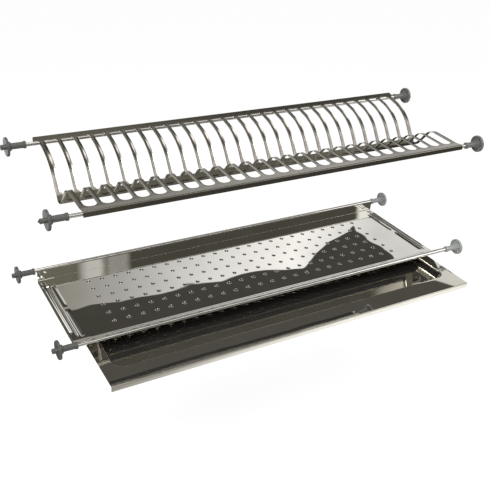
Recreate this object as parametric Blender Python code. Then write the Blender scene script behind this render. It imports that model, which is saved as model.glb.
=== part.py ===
"""Two-tier dish drainer that hangs between the sides of a wall cabinet.

The upper tier is a pressed rack for plates. The lower tier is a perforated shelf for glasses,
with a drip tray that slides under it. Each tier lies on two rods, and each rod ends in two
fittings whose discs bear on the cabinet's sides.

Metres. X runs along the rods, Y towards the back and Z up. The origin is on the axis of the
lower front rod, midway between the cabinet's sides.
"""

import math

import bmesh
import bpy
from mathutils import Matrix, Vector

# The cabinet, and the places of the rods in it
CABINET_WIDTH = 0.768
LOWER_DEPTH = 0.223
LOWER_RISE = 0.026
UPPER_DEPTH = 0.197
UPPER_RISE = 0.050
TIER_SPACING = 0.204
UPPER_OVERHANG = 0.019

# Shared by all pieces: sheet thickness, the gap where pieces rest, and a cutter's overrun
SHEET = 0.0008
REST_GAP = 0.0003
OVERRUN = 0.002
MERGE = 0.000001
SHARP_ANGLE = math.radians(35)
FLAT_ANGLE = math.radians(5)

# Rods
ROD_DIAMETER = 0.006
ROD_SIDES = 12

# End fittings
DISC_DIAMETER = 0.029
DISC_THICKNESS = 0.004
DISC_CHAMFER = 0.0006
RIM_WIDTH = 0.002
POCKET_DEPTH = 0.0022
POCKET_COUNT = 6
WEB_WIDTH = 0.0015
BOSS_DIAMETER = 0.0135
BOSS_LENGTH = 0.004
SOCKET_DIAMETER = 0.0095
SOCKET_LENGTH = 0.022
SOCKET_CHAMFER = 0.0005
ROD_ENGAGEMENT = 0.018
PIN_DIAMETER = 0.008
PIN_LENGTH = 0.007
PIN_WALL = 0.0016
PIN_HOLLOW_DEPTH = 0.005
PIN_POINT_LENGTH = 0.0035
FACETS_PER_POCKET = 2

# Plate rack: its ribs
RIB_PITCH = 0.0257
RIB_WIDTH = 0.0068
RIB_CREASE = 0.0012
RACK_END_MARGIN = 0.0016
RACK_END_GAP = 0.006
RACK_SIDE_OFFSET = 0.004

# Plate rack: its profile, from the rail on the back rod to the hem on the front rod
RAIL_SKIRT = 0.0035
RAIL_REACH = 0.012
RAIL_FOLD_RADIUS = 0.0012
RAIL_OVERHANG = 0.0055
KNEE_DEPTH_SHARE = 0.74
KNEE_RISE_SHARE = 0.71
KNEE_RADIUS = 0.075
VALLEY_DEPTH_SHARE = 0.60
VALLEY_DROP = 0.020
VALLEY_WALL = 0.007
VALLEY_WIDTH = 0.011
VALLEY_RADIUS = 0.003
HUMP_DEPTH_SHARE = 0.365
HUMP_HEIGHT = 0.014
HUMP_RADIUS = 0.022
PLATE_DEPTH = 0.011
PLATE_RADIUS = 0.020
HEM_RADIUS = 0.0018
RACK_HEM_DROP = 0.0043
SLOT_CORNER = 0.0025
SLOT_NOSE_SHARE = 0.86
SLOT_NOSE_STEPS = 3
RAIL_STEPS = 2
KNEE_STEPS = 6
VALLEY_STEPS = 1
HUMP_STEPS = 3
PLATE_STEPS = 1
HEM_STEPS = 3

# Glass shelf
SHELF_END_GAP = 0.003
SHELF_FLOOR_DROP = 0.017
SHELF_SKIRT = 0.004
SHELF_FOLD_RADIUS = 0.0025
RAMP_ANGLE = math.radians(35)
RAMP_RADIUS = 0.008
SHELF_HEM_TURN = math.radians(118)
HEM_SEAT_STEPS = 4
HOOK_STEPS = 6
SHELF_BEND_STEPS = 2
HOLE_DIAMETER = 0.007
HOLE_SIDES = 6
COLUMN_PITCH = 0.024
ROW_PITCH = 0.025
BACK_ROW_INSET = 0.0365
FRONT_ROW_INSET = 0.022
SIDE_HOLE_INSET = 0.046
RIDGE_HEIGHT = 0.0013
RIDGE_HALF_WIDTH = 0.0016
OUTER_RIDGE_INSET = 0.004
INNER_RIDGE_INSET = 0.010
GROOVE_INSET = 0.0185
GROOVE_HALF_WIDTH = 0.0024
GROOVE_DEPTH = 0.0013
MARGIN_WIDTH = 0.0285
OUTER_RIDGE_START = 0.019
INNER_RIDGE_START = 0.008
GROOVE_START = 0.009
GROOVE_END = 0.082
RIDGE_TAPER = 0.004
RIDGE_BACK_INSET = 0.006

# Runners folded in under the shelf's sides, which carry the tray
RUNNER_DROP = 0.0055

# Drip tray
TRAY_SIDE_GAP = 0.0165
TRAY_BACK_GAP = 0.006
TRAY_CLOSED_REACH = 0.012
TRAY_PULLED_OUT = 0.072
FRONT_FLANGE = 0.036
SIDE_FLANGE = 0.0195
BACK_FLANGE = 0.012
BASIN_SIDE_GAP = 0.0025
BASIN_DEPTH = 0.015
BASIN_CORNER = 0.018
BASIN_CORNER_STEPS = 4
BASIN_DRAFT = 0.005
BASIN_FOOT_RADIUS = 0.004
TRAY_LIP = 0.0085

# Worked out from the values above
ROD_RADIUS = ROD_DIAMETER / 2
SEAT_RADIUS = ROD_RADIUS + REST_GAP + SHEET / 2
DISC_PLACE = CABINET_WIDTH / 2
FITTING_LENGTH = DISC_THICKNESS + BOSS_LENGTH + SOCKET_LENGTH
ROD_LENGTH = 2 * (DISC_PLACE - FITTING_LENGTH + ROD_ENGAGEMENT - REST_GAP)
SHELF_TILT = math.atan2(LOWER_RISE, LOWER_DEPTH)
SHELF_SPAN = math.hypot(LOWER_RISE, LOWER_DEPTH)
SHELF_HALF_WIDTH = DISC_PLACE - FITTING_LENGTH - SHELF_END_GAP
FLANGE_LEVEL = -SHELF_FLOOR_DROP - RUNNER_DROP + SHEET + REST_GAP
TRAY_HALF_WIDTH = SHELF_HALF_WIDTH - TRAY_SIDE_GAP
TRAY_LENGTH = SHELF_SPAN - SEAT_RADIUS - TRAY_BACK_GAP + TRAY_CLOSED_REACH
RACK_HALF_ROOM = DISC_PLACE - FITTING_LENGTH - RACK_END_GAP - RACK_SIDE_OFFSET
RIB_ROOM = 2 * (RACK_HALF_ROOM - RACK_END_MARGIN) - RIB_WIDTH
RIB_COUNT = int(RIB_ROOM / RIB_PITCH) + 1
RUNNER_EDGE = TRAY_HALF_WIDTH - SIDE_FLANGE + BASIN_SIDE_GAP

ROD_PLACES = {
    "lower_front": (0.0, 0.0),
    "lower_back": (LOWER_DEPTH, LOWER_RISE),
    "upper_front": (-UPPER_OVERHANG, TIER_SPACING),
    "upper_back": (UPPER_DEPTH - UPPER_OVERHANG, TIER_SPACING + UPPER_RISE),
}
POINTED_PIN = ("upper_front", "left")
PALE_FITTINGS = (("lower_front", "right"), ("lower_back", "right"))


# Scene and object helpers

def clear_scene():
    for thing in list(bpy.data.objects):
        bpy.data.objects.remove(thing, do_unlink=True)


def make_material(name, colour, metallic, roughness):
    material = bpy.data.materials.new(name)
    material.use_nodes = True
    shader = material.node_tree.nodes["Principled BSDF"]
    shader.inputs["Base Color"].default_value = (*colour, 1.0)
    shader.inputs["Metallic"].default_value = metallic
    shader.inputs["Roughness"].default_value = roughness
    return material


def finish_mesh(shape, name):
    """Turn a bmesh into a mesh whose faces point outwards and whose curved faces are smooth."""
    bmesh.ops.recalc_face_normals(shape, faces=shape.faces)
    mesh = bpy.data.meshes.new(name)
    shape.to_mesh(mesh)
    shape.free()
    mesh.shade_smooth()
    mesh.set_sharp_from_angle(angle=SHARP_ANGLE)
    return mesh


def place(name, mesh, material, location=(0.0, 0.0, 0.0), rotation=(0.0, 0.0, 0.0)):
    piece = bpy.data.objects.new(name, mesh)
    bpy.context.scene.collection.objects.link(piece)
    piece.data.materials.clear()
    piece.data.materials.append(material)
    piece.location = location
    piece.rotation_euler = rotation
    return piece


def thicken(piece):
    """Give a pressed sheet its thickness, half to each side of the modelled surface."""
    solid = piece.modifiers.new("sheet", "SOLIDIFY")
    solid.thickness = SHEET
    solid.offset = 0.0
    solid.use_even_offset = True
    solid.use_quality_normals = True


# Outlines in a plane

def arc(centre, radius, start, end, steps):
    """Points on a circle, both ends included."""
    points = []
    for step in range(steps + 1):
        angle = start + (end - start) * step / steps
        offset = Vector((math.cos(angle), math.sin(angle))) * radius
        points.append(Vector(centre) + offset)
    return points


def fillet(before, corner, after, radius, steps):
    """Points that round the corner of an outline with an arc of the given radius."""
    to_before = (before - corner).normalized()
    to_after = (after - corner).normalized()
    half_angle = to_before.angle(to_after) / 2
    tangent_length = radius / math.tan(half_angle)
    first = corner + to_before * tangent_length
    last = corner + to_after * tangent_length
    middle = corner + (to_before + to_after).normalized() * (radius / math.sin(half_angle))
    start = first - middle
    turn = start.angle_signed(last - middle)
    points = []
    for step in range(steps + 1):
        points.append(middle + Matrix.Rotation(-turn * step / steps, 2) @ start)
    return points


def tangent_point(point, centre, radius, side):
    """Where a line from a point touches a circle; side is 1 or -1 for either tangent."""
    away = point - centre
    spread = math.acos(radius / away.length)
    angle = math.atan2(away.y, away.x) + side * spread
    return centre + Vector((math.cos(angle), math.sin(angle))) * radius


# Rods and their end fittings

def revolve(profile, sides):
    """Turn an outline of (along X, radius) points about the X axis."""
    shape = bmesh.new()
    ring = [shape.verts.new((along, 0.0, radius)) for along, radius in profile]
    edges = [shape.edges.new(pair) for pair in zip(ring, ring[1:])]
    bmesh.ops.spin(
        shape,
        geom=ring + edges,
        cent=(0.0, 0.0, 0.0),
        axis=(1.0, 0.0, 0.0),
        angle=math.tau,
        steps=sides,
        use_merge=False,
    )
    bmesh.ops.remove_doubles(shape, verts=shape.verts, dist=MERGE)
    return shape


def rod_mesh():
    half = ROD_LENGTH / 2
    profile = [(-half, 0.0), (-half, ROD_RADIUS), (half, ROD_RADIUS), (half, 0.0)]
    return finish_mesh(revolve(profile, ROD_SIDES), "rod")


def pin_profile(pointed):
    """The pin that enters the cabinet's side, from its tip to the disc's outer face."""
    radius = PIN_DIAMETER / 2
    if pointed:
        return [(-PIN_LENGTH - PIN_POINT_LENGTH, 0.0), (-PIN_LENGTH, radius), (0.0, radius)]
    hollow = radius - PIN_WALL
    floor = PIN_HOLLOW_DEPTH - PIN_LENGTH
    return [(floor, 0.0), (floor, hollow), (-PIN_LENGTH, hollow), (-PIN_LENGTH, radius), (0.0, radius)]


def sink_pockets(shape):
    """Press a ring of pockets into the disc's inner face, which leaves radial webs between them."""
    middle = (DISC_DIAMETER / 2 - RIM_WIDTH + BOSS_DIAMETER / 2) / 2
    band = []
    for face in shape.faces:
        centre = face.calc_center_median()
        flat = abs(face.normal.x) > math.cos(FLAT_ANGLE)
        at_face = abs(centre.x - DISC_THICKNESS) < MERGE
        if flat and at_face and abs(math.hypot(centre.y, centre.z) - middle) < RIM_WIDTH:
            band.append(face)
    sectors = POCKET_COUNT * FACETS_PER_POCKET
    seams = []
    for edge in {edge for face in band for edge in face.edges}:
        inner, outer = [vertex.co for vertex in edge.verts]
        radial = abs(inner.yz.length - outer.yz.length) > RIM_WIDTH
        middle_point = (inner + outer) / 2
        sector = round(math.atan2(middle_point.z, middle_point.y) / math.tau * sectors)
        if radial and sector % FACETS_PER_POCKET:
            seams.append(edge)
    kept = [face for face in shape.faces if face not in band]
    bmesh.ops.dissolve_edges(shape, edges=seams, use_verts=False)
    pockets = [face for face in shape.faces if face not in kept]
    bmesh.ops.inset_individual(shape, faces=pockets, thickness=WEB_WIDTH / 2, use_even_offset=True)
    for vertex in {vertex for face in pockets for vertex in face.verts}:
        vertex.co.x -= POCKET_DEPTH


def fitting_mesh(name, pointed):
    """Disc, pin, stepped boss and socket in one moulding; X = 0 is the disc's outer face."""
    disc = DISC_DIAMETER / 2
    boss = BOSS_DIAMETER / 2
    socket = SOCKET_DIAMETER / 2
    bore = ROD_RADIUS + REST_GAP
    boss_end = DISC_THICKNESS + BOSS_LENGTH
    profile = pin_profile(pointed) + [
        (0.0, disc - DISC_CHAMFER),
        (DISC_CHAMFER, disc),
        (DISC_THICKNESS - DISC_CHAMFER, disc),
        (DISC_THICKNESS, disc - DISC_CHAMFER),
        (DISC_THICKNESS, disc - RIM_WIDTH),
        (DISC_THICKNESS, boss),
        (boss_end, boss),
        (boss_end, socket),
        (FITTING_LENGTH - SOCKET_CHAMFER, socket),
        (FITTING_LENGTH, socket - SOCKET_CHAMFER),
        (FITTING_LENGTH, bore),
        (FITTING_LENGTH - ROD_ENGAGEMENT, bore),
        (FITTING_LENGTH - ROD_ENGAGEMENT, 0.0),
    ]
    shape = revolve(profile, POCKET_COUNT * FACETS_PER_POCKET)
    bmesh.ops.recalc_face_normals(shape, faces=shape.faces)
    sink_pockets(shape)
    return finish_mesh(shape, name)


# Plate rack

def rack_outline():
    """The rack's side profile as (Y, Z) about the upper front rod, in six stretches.

    They are the rail, the ribs' back, the valley, the ribs' front, the front plate and the hem.
    """
    back_rod = Vector((UPPER_DEPTH, UPPER_RISE))
    front_rod = Vector((0.0, 0.0))
    knee = Vector((UPPER_DEPTH * KNEE_DEPTH_SHARE, UPPER_RISE * KNEE_RISE_SHARE))
    valley_back = Vector((UPPER_DEPTH * VALLEY_DEPTH_SHARE, -VALLEY_DROP))
    valley_front = valley_back - Vector((VALLEY_WIDTH, 0.0))
    hump = Vector((UPPER_DEPTH * HUMP_DEPTH_SHARE, HUMP_HEIGHT))
    plate_back = Vector((PLATE_DEPTH, SEAT_RADIUS))
    hem_top = Vector((-SEAT_RADIUS, SEAT_RADIUS))
    hem_bottom = Vector((-SEAT_RADIUS, -RACK_HEM_DROP))

    leave = tangent_point(knee, back_rod, SEAT_RADIUS, -1)
    ridge = leave + (leave - knee).normalized() * RAIL_REACH
    skirt = Vector((ridge.x, back_rod.y - RAIL_SKIRT))
    rail = [skirt] + fillet(skirt, ridge, leave, RAIL_FOLD_RADIUS, RAIL_STEPS) + [leave]
    back = fillet(leave, knee, valley_back, KNEE_RADIUS, KNEE_STEPS)
    valley = fillet(knee, valley_back, valley_front, VALLEY_RADIUS, VALLEY_STEPS)
    valley += fillet(valley_back, valley_front, hump, VALLEY_RADIUS, VALLEY_STEPS)
    front = fillet(valley_front, hump, plate_back, HUMP_RADIUS, HUMP_STEPS)
    plate = fillet(hump, plate_back, front_rod + hem_top, PLATE_RADIUS, PLATE_STEPS)
    hem = fillet(plate_back, hem_top, hem_bottom, HEM_RADIUS, HEM_STEPS) + [hem_bottom]
    return rail, back, valley, front, plate, hem


def point_along(start, end, distance):
    return start + (end - start).normalized() * distance


def rack_rows():
    """Rows of the pressed sheet: point, slot half-width, crease share, and if a slot follows."""
    rail, back, valley, front, plate, hem = rack_outline()
    slot = (RIB_PITCH - RIB_WIDTH) / 2
    closed = slot - SLOT_CORNER
    nose_radius = slot * SLOT_NOSE_SHARE
    rows = [(point, closed, 0.0, False) for point in rail[:-1]]
    rows.append((rail[-1], closed, 0.0, True))
    rows.append((point_along(rail[-1], back[0], SLOT_CORNER), slot, 0.0, True))
    rows += [(point, slot, 1.0, True) for point in back]
    rows.append((point_along(valley[0], back[-1], VALLEY_WALL + SLOT_CORNER), slot, 0.0, True))
    rows.append((point_along(valley[0], back[-1], VALLEY_WALL), closed, 0.0, False))
    rows += [(point, closed, 0.0, False) for point in valley]
    rows.append((point_along(valley[-1], front[0], VALLEY_WALL), closed, 0.0, True))
    rows.append((point_along(valley[-1], front[0], VALLEY_WALL + SLOT_CORNER), slot, 0.0, True))
    rows += [(point, slot, 0.0, True) for point in front]
    for step in range(SLOT_NOSE_STEPS + 1):
        turn = math.pi / 2 * step / SLOT_NOSE_STEPS
        width = slot - nose_radius * (1 - math.cos(turn))
        point = point_along(plate[0], front[-1], nose_radius * (1 - math.sin(turn)))
        rows.append((point, width, 0.0, step < SLOT_NOSE_STEPS))
    rows += [(point, rows[-1][1], 0.0, False) for point in plate[1:] + hem]
    return rows


def rack_mesh():
    """One pressed sheet: ribs, valley, hump and front plate, with a rail and a hem for the rods."""
    rows = rack_rows()
    middle = (RIB_COUNT - 1) / 2
    rib_places = [(index - middle) * RIB_PITCH for index in range(RIB_COUNT)]
    narrow_end = middle * RIB_PITCH + RIB_WIDTH / 2 + RACK_END_MARGIN
    rail_front = rack_outline()[0][-1]
    shape = bmesh.new()
    grid = []
    for number, (point, gap, crease, _) in enumerate(rows):
        ahead = rows[min(number + 1, len(rows) - 1)][0]
        behind = rows[max(number - 1, 0)][0]
        along = (ahead - behind).normalized()
        sunk = point + Vector((-along.y, along.x)) * (RIB_CREASE * crease)
        end = narrow_end + RAIL_OVERHANG if point.x >= rail_front.x else narrow_end
        line = []
        for index, rib in enumerate(rib_places):
            left = rib - RIB_PITCH / 2 + gap if index else -end
            right = rib + RIB_PITCH / 2 - gap if index < RIB_COUNT - 1 else end
            strip = [shape.verts.new((left, *point))]
            if crease:
                strip.append(shape.verts.new((rib, *sunk)))
            strip.append(shape.verts.new((right, *point)))
            line.append(strip)
        grid.append(line)
    for number in range(len(rows) - 1):
        upper = grid[number]
        lower = grid[number + 1]
        slotted = rows[number][3]
        for index in range(RIB_COUNT):
            top = upper[index]
            bottom = lower[index]
            if len(top) == 3 and len(bottom) == 3:
                shape.faces.new((top[0], top[1], bottom[1], bottom[0]))
                shape.faces.new((top[1], top[2], bottom[2], bottom[1]))
            else:
                shape.faces.new(top + bottom[::-1])
            if index and not slotted:
                before_top = upper[index - 1][-1]
                before_bottom = lower[index - 1][-1]
                shape.faces.new((before_top, top[0], bottom[0], before_bottom))
    return finish_mesh(shape, "plate_rack")


# Glass shelf, in its own frame: Y from the front rod to the back rod, Z square to their plane

def shelf_outline():
    """The shelf's profile in two runs: skirt, hem and wall down to the floor, and the ramp."""
    back_rod = Vector((SHELF_SPAN, 0.0))
    front_rod = Vector((0.0, 0.0))
    floor = -SHELF_FLOOR_DROP
    wall_place = SHELF_SPAN - SEAT_RADIUS
    wall_foot = Vector((wall_place, floor))
    touch = arc(front_rod, SEAT_RADIUS, math.pi / 2 - RAMP_ANGLE, SHELF_HEM_TURN, HEM_SEAT_STEPS)
    ramp_run = (touch[0].y - floor) / math.tan(RAMP_ANGLE)
    ramp_foot = Vector((touch[0].x + ramp_run, floor))
    down = [back_rod + Vector((SEAT_RADIUS, -SHELF_SKIRT))]
    down += arc(back_rod, SEAT_RADIUS, 0.0, math.pi, HOOK_STEPS)
    down += fillet(down[-1], wall_foot, ramp_foot, SHELF_FOLD_RADIUS, SHELF_BEND_STEPS)
    up = fillet(wall_foot, ramp_foot, touch[0], RAMP_RADIUS, SHELF_BEND_STEPS)
    up += touch
    return down, up


def margin_columns():
    """Columns across one side margin, from the outer edge in: inset, kind of bead."""
    columns = [(0.0, None)]
    for inset, half, kind in (
        (OUTER_RIDGE_INSET, RIDGE_HALF_WIDTH, "outer"),
        (INNER_RIDGE_INSET, RIDGE_HALF_WIDTH, "inner"),
        (GROOVE_INSET, GROOVE_HALF_WIDTH, "groove"),
    ):
        columns += [(inset - half, None), (inset, kind), (inset + half, None)]
    columns.append((MARGIN_WIDTH, None))
    return columns


def bead_height(kind, along_front):
    """Height of a margin's bead at a distance behind the floor's front edge."""
    starts = {"outer": OUTER_RIDGE_START, "inner": INNER_RIDGE_START, "groove": GROOVE_START}
    if kind is None or along_front < starts[kind] + RIDGE_TAPER / 2:
        return 0.0
    if kind == "groove":
        return -GROOVE_DEPTH if along_front < GROOVE_END - RIDGE_TAPER / 2 else 0.0
    return RIDGE_HEIGHT


def shelf_mesh():
    """Hems, wall, floor with beaded margins, ramp, and the runners folded in below the sides."""
    down, up = shelf_outline()
    back_edge = down[-1].x
    front_edge = up[0].x
    floor = -SHELF_FLOOR_DROP
    columns = margin_columns()
    places = [GROOVE_END, GROOVE_END - RIDGE_TAPER]
    for start in (OUTER_RIDGE_START, INNER_RIDGE_START, GROOVE_START):
        places += [start, start + RIDGE_TAPER]
    places.append(back_edge - front_edge - RIDGE_BACK_INSET)
    stations = [back_edge]
    stations += [front_edge + distance for distance in sorted(places, reverse=True)]
    stations.append(front_edge)

    shape = bmesh.new()
    sides = {}
    for side in (-1, 1):
        rows = []
        for station in stations:
            distance = station - front_edge
            row = []
            for inset, kind in columns:
                height = bead_height(kind, distance) if station < back_edge else 0.0
                across = side * (SHELF_HALF_WIDTH - inset)
                row.append(shape.verts.new((across, station, floor + height)))
            rows.append(row)
        for upper, lower in zip(rows, rows[1:]):
            for column in range(len(columns) - 1):
                quad = (upper[column], upper[column + 1], lower[column + 1], lower[column])
                shape.faces.new(quad)
        outer = [row[0] for row in rows]
        low = floor - RUNNER_DROP
        outer_edge = side * SHELF_HALF_WIDTH
        inner_edge = side * RUNNER_EDGE
        wall = [shape.verts.new((outer_edge, end, low)) for end in (front_edge, back_edge)]
        leg = [shape.verts.new((inner_edge, end, low)) for end in (back_edge, front_edge)]
        shape.faces.new(outer + wall)
        shape.faces.new(wall + leg)
        sides[side] = rows
    left = sides[-1]
    right = sides[1]
    shape.faces.new([row[-1] for row in left] + [row[-1] for row in reversed(right)])

    def pairs(points):
        ends = (-SHELF_HALF_WIDTH, SHELF_HALF_WIDTH)
        return [[shape.verts.new((end, *point)) for end in ends] for point in points]

    for edge_row, run in ((0, list(reversed(down[:-1]))), (-1, up[1:])):
        edge = left[edge_row] + right[edge_row][::-1]
        for pair in pairs(run):
            shape.faces.new(edge + pair[::-1])
            edge = pair
    return finish_mesh(shape, "glass_shelf")


def drain_holes():
    """One cutter with a many-sided prism for each drain hole of the shelf's floor."""
    shape = bmesh.new()
    _, up = shelf_outline()
    back_row = SHELF_SPAN - SEAT_RADIUS - BACK_ROW_INSET
    rows = int((back_row - up[0].x - FRONT_ROW_INSET) / ROW_PITCH) + 1
    floor_width = 2 * (SHELF_HALF_WIDTH - MARGIN_WIDTH - SIDE_HOLE_INSET)
    columns = int(floor_width / COLUMN_PITCH) + 1
    for column in range(columns):
        for row in range(rows):
            across = (column - (columns - 1) / 2) * COLUMN_PITCH
            spot = Vector((across, back_row - row * ROW_PITCH, -SHELF_FLOOR_DROP))
            bmesh.ops.create_cone(
                shape,
                cap_ends=True,
                segments=HOLE_SIDES,
                radius1=HOLE_DIAMETER / 2,
                radius2=HOLE_DIAMETER / 2,
                depth=SHEET + OVERRUN,
                matrix=Matrix.Translation(spot),
            )
    return finish_mesh(shape, "drain_holes")


def punch(piece, cutter_mesh, material):
    """Cut holes into a piece with a hidden cutter that has the piece's own place."""
    cutter = place(cutter_mesh.name, cutter_mesh, material, piece.location, piece.rotation_euler)
    cutter.hide_render = True
    cutter.display_type = "WIRE"
    cut = piece.modifiers.new("holes", "BOOLEAN")
    cut.operation = "DIFFERENCE"
    cut.object = cutter


# Drip tray, in the shelf's frame, with its origin on the front rod's axis

def rounded_rectangle(half_width, front, back, radius, level):
    """Points round a basin's edge, the same number for every size of it."""
    points = []
    corners = (
        (half_width - radius, back - radius, 0.0),
        (radius - half_width, back - radius, math.pi / 2),
        (radius - half_width, front + radius, math.pi),
        (half_width - radius, front + radius, -math.pi / 2),
    )
    for across, along, start in corners:
        for point in arc((across, along), radius, start, start + math.pi / 2, BASIN_CORNER_STEPS):
            points.append((point.x, point.y, level))
    return points


def tray_mesh():
    """Flat flanges round a drawn basin, with the front edge turned down as a lip."""
    front = -TRAY_CLOSED_REACH - TRAY_PULLED_OUT
    back = front + TRAY_LENGTH
    half = TRAY_HALF_WIDTH
    level = FLANGE_LEVEL
    basin_half = half - SIDE_FLANGE
    basin_front = front + FRONT_FLANGE
    basin_back = back - BACK_FLANGE
    shape = bmesh.new()

    def ring(inset, drop):
        radius = BASIN_CORNER - inset
        points = rounded_rectangle(
            basin_half - inset, basin_front + inset, basin_back - inset, radius, level - drop
        )
        return [shape.verts.new(point) for point in points]

    wall_foot = BASIN_DEPTH - BASIN_FOOT_RADIUS
    rings = [
        ring(0.0, 0.0),
        ring(BASIN_DRAFT * wall_foot / BASIN_DEPTH, wall_foot),
        ring(BASIN_DRAFT + BASIN_FOOT_RADIUS, BASIN_DEPTH),
    ]
    for upper, lower in zip(rings, rings[1:]):
        for index in range(len(upper)):
            after = (index + 1) % len(upper)
            shape.faces.new((upper[index], upper[after], lower[after], lower[index]))
    shape.faces.new(rings[-1])

    outline = ((half, back), (-half, back), (-half, front), (half, front))
    corners = [shape.verts.new((across, along, level)) for across, along in outline]
    steps = BASIN_CORNER_STEPS + 1
    rim = rings[0]
    for corner in range(len(corners)):
        start = corner * steps
        round_stretch = rim[start:start + steps]
        for first, second in zip(round_stretch, round_stretch[1:]):
            shape.faces.new((corners[corner], second, first))
        following = (corner + 1) % len(corners)
        next_start = rim[(start + steps) % len(rim)]
        shape.faces.new((corners[corner], corners[following], next_start, round_stretch[-1]))
    lip = [shape.verts.new((across, front, level - TRAY_LIP)) for across in (half, -half)]
    shape.faces.new((corners[2], corners[3], lip[0], lip[1]))
    return finish_mesh(shape, "drip_tray")


# The whole drainer

def build():
    clear_scene()
    rack_steel = make_material("rack_steel", (0.56, 0.54, 0.50), 1.0, 0.16)
    shelf_steel = make_material("shelf_steel", (0.66, 0.65, 0.62), 1.0, 0.10)
    tray_steel = make_material("tray_steel", (0.60, 0.59, 0.55), 1.0, 0.10)
    rod_chrome = make_material("rod_chrome", (0.80, 0.79, 0.76), 1.0, 0.08)
    dark_plastic = make_material("dark_plastic", (0.10, 0.10, 0.09), 0.0, 0.38)
    pale_plastic = make_material("pale_plastic", (0.36, 0.37, 0.36), 0.0, 0.40)

    rod = rod_mesh()
    hollow_fitting = fitting_mesh("fitting_hollow", False)
    pointed_fitting = fitting_mesh("fitting_pointed", True)
    for tier, (along, height) in ROD_PLACES.items():
        place("rod_" + tier, rod, rod_chrome, (0.0, along, height))
        for side, turn, across in (("left", 0.0, -DISC_PLACE), ("right", math.pi, DISC_PLACE)):
            mesh = pointed_fitting if (tier, side) == POINTED_PIN else hollow_fitting
            pale = (tier, side) in PALE_FITTINGS
            plastic = pale_plastic if pale else dark_plastic
            copy = mesh.copy() if pale else mesh
            name = "fitting_" + tier + "_" + side
            place(name, copy, plastic, (across, along, height), (0.0, 0.0, turn))

    upper_front = (RACK_SIDE_OFFSET, *ROD_PLACES["upper_front"])
    thicken(place("plate_rack", rack_mesh(), rack_steel, upper_front))
    tilt = (SHELF_TILT, 0.0, 0.0)
    shelf = place("glass_shelf", shelf_mesh(), shelf_steel, rotation=tilt)
    thicken(shelf)
    punch(shelf, drain_holes(), shelf_steel)
    thicken(place("drip_tray", tray_mesh(), tray_steel, rotation=tilt))


build()
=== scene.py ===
"""Looks of the two-tier dish drainer: pressed and polished steel on chromed rods with moulded ends.

Metres. X runs along the rods, Y towards the back and Z up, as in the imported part.
"""

import math

import bmesh
import bpy
from mathutils import Matrix, Vector


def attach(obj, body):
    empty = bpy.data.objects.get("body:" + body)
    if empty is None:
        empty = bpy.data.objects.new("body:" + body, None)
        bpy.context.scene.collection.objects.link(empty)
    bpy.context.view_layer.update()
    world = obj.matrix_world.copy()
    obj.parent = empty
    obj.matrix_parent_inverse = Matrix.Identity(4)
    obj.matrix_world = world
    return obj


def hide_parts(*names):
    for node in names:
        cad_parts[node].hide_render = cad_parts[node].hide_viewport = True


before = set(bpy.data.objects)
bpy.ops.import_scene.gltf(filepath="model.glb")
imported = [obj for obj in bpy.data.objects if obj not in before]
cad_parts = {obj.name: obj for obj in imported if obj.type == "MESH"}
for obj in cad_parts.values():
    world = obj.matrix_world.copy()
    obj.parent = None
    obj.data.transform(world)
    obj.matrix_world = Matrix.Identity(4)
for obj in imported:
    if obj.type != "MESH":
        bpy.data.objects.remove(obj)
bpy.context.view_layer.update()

# The cabinet, and the places of the rods in it
CABINET_WIDTH = 0.768
LOWER_DEPTH = 0.223
LOWER_RISE = 0.026
UPPER_DEPTH = 0.197
UPPER_RISE = 0.050
TIER_SPACING = 0.204
UPPER_OVERHANG = 0.019

# Shared by all pieces
SHEET = 0.0008
REST_GAP = 0.0003
MERGE = 0.000001
SHARP_ANGLE = math.radians(38)
ROUND_SEGMENTS = 2
LARGE_FACES_FIRST = 100

# Rods
ROD_RADIUS = 0.003
ROD_SIDES = 48
ROD_END_CHAMFER = 0.0004
ROD_ENGAGEMENT = 0.018

# End fittings
DISC_RADIUS = 0.0145
DISC_THICKNESS = 0.004
DISC_CHAMFER = 0.0006
RIM_WIDTH = 0.002
POCKET_DEPTH = 0.0022
POCKET_COUNT = 6
WEB_WIDTH = 0.0015
BOSS_RADIUS = 0.00675
BOSS_LENGTH = 0.004
SOCKET_RADIUS = 0.00475
SOCKET_LENGTH = 0.022
COLLAR_RADIUS = 0.0056
COLLAR_LENGTH = 0.0035
PIN_RADIUS = 0.004
PIN_LENGTH = 0.007
PIN_WALL = 0.0016
PIN_HOLLOW_DEPTH = 0.005
PIN_POINT_LENGTH = 0.0035
PIN_NECK = 0.0004
EDGE_ROUND = 0.00025
FACETS_PER_POCKET = 16

# Plate rack
RIB_COUNT = 27
RIB_PITCH = 0.0257
RIB_WIDTH = 0.0068
RIB_CREASE = 0.0009
FRONT_RIB_CREASE = 0.0003
RIB_COLUMNS = 8
RACK_END_MARGIN = 0.0016
RACK_SIDE_OFFSET = 0.004
RAIL_SKIRT = 0.0035
RAIL_REACH = 0.012
RAIL_FOLD_RADIUS = 0.0012
RAIL_OVERHANG = 0.0055
KNEE_DEPTH_SHARE = 0.74
KNEE_RISE_SHARE = 0.71
KNEE_RADIUS = 0.075
VALLEY_DEPTH_SHARE = 0.60
VALLEY_DROP = 0.020
VALLEY_WALL = 0.007
VALLEY_WIDTH = 0.011
VALLEY_RADIUS = 0.003
HUMP_DEPTH_SHARE = 0.365
HUMP_HEIGHT = 0.014
HUMP_RADIUS = 0.022
PLATE_DEPTH = 0.011
PLATE_RADIUS = 0.020
HEM_RADIUS = 0.0018
RACK_HEM_DROP = 0.0043
SLOT_CORNER = 0.0025
SLOT_FOOT_CORNER = 0.0045
SLOT_NOSE_SHARE = 0.86
SLOT_END_STEPS = 6
CREASE_RUN = 0.012
ROW_SPACING = 0.005
RAIL_STEPS = 6
KNEE_STEPS = 18
VALLEY_STEPS = 5
HUMP_STEPS = 12
PLATE_STEPS = 6
HEM_STEPS = 8

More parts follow.
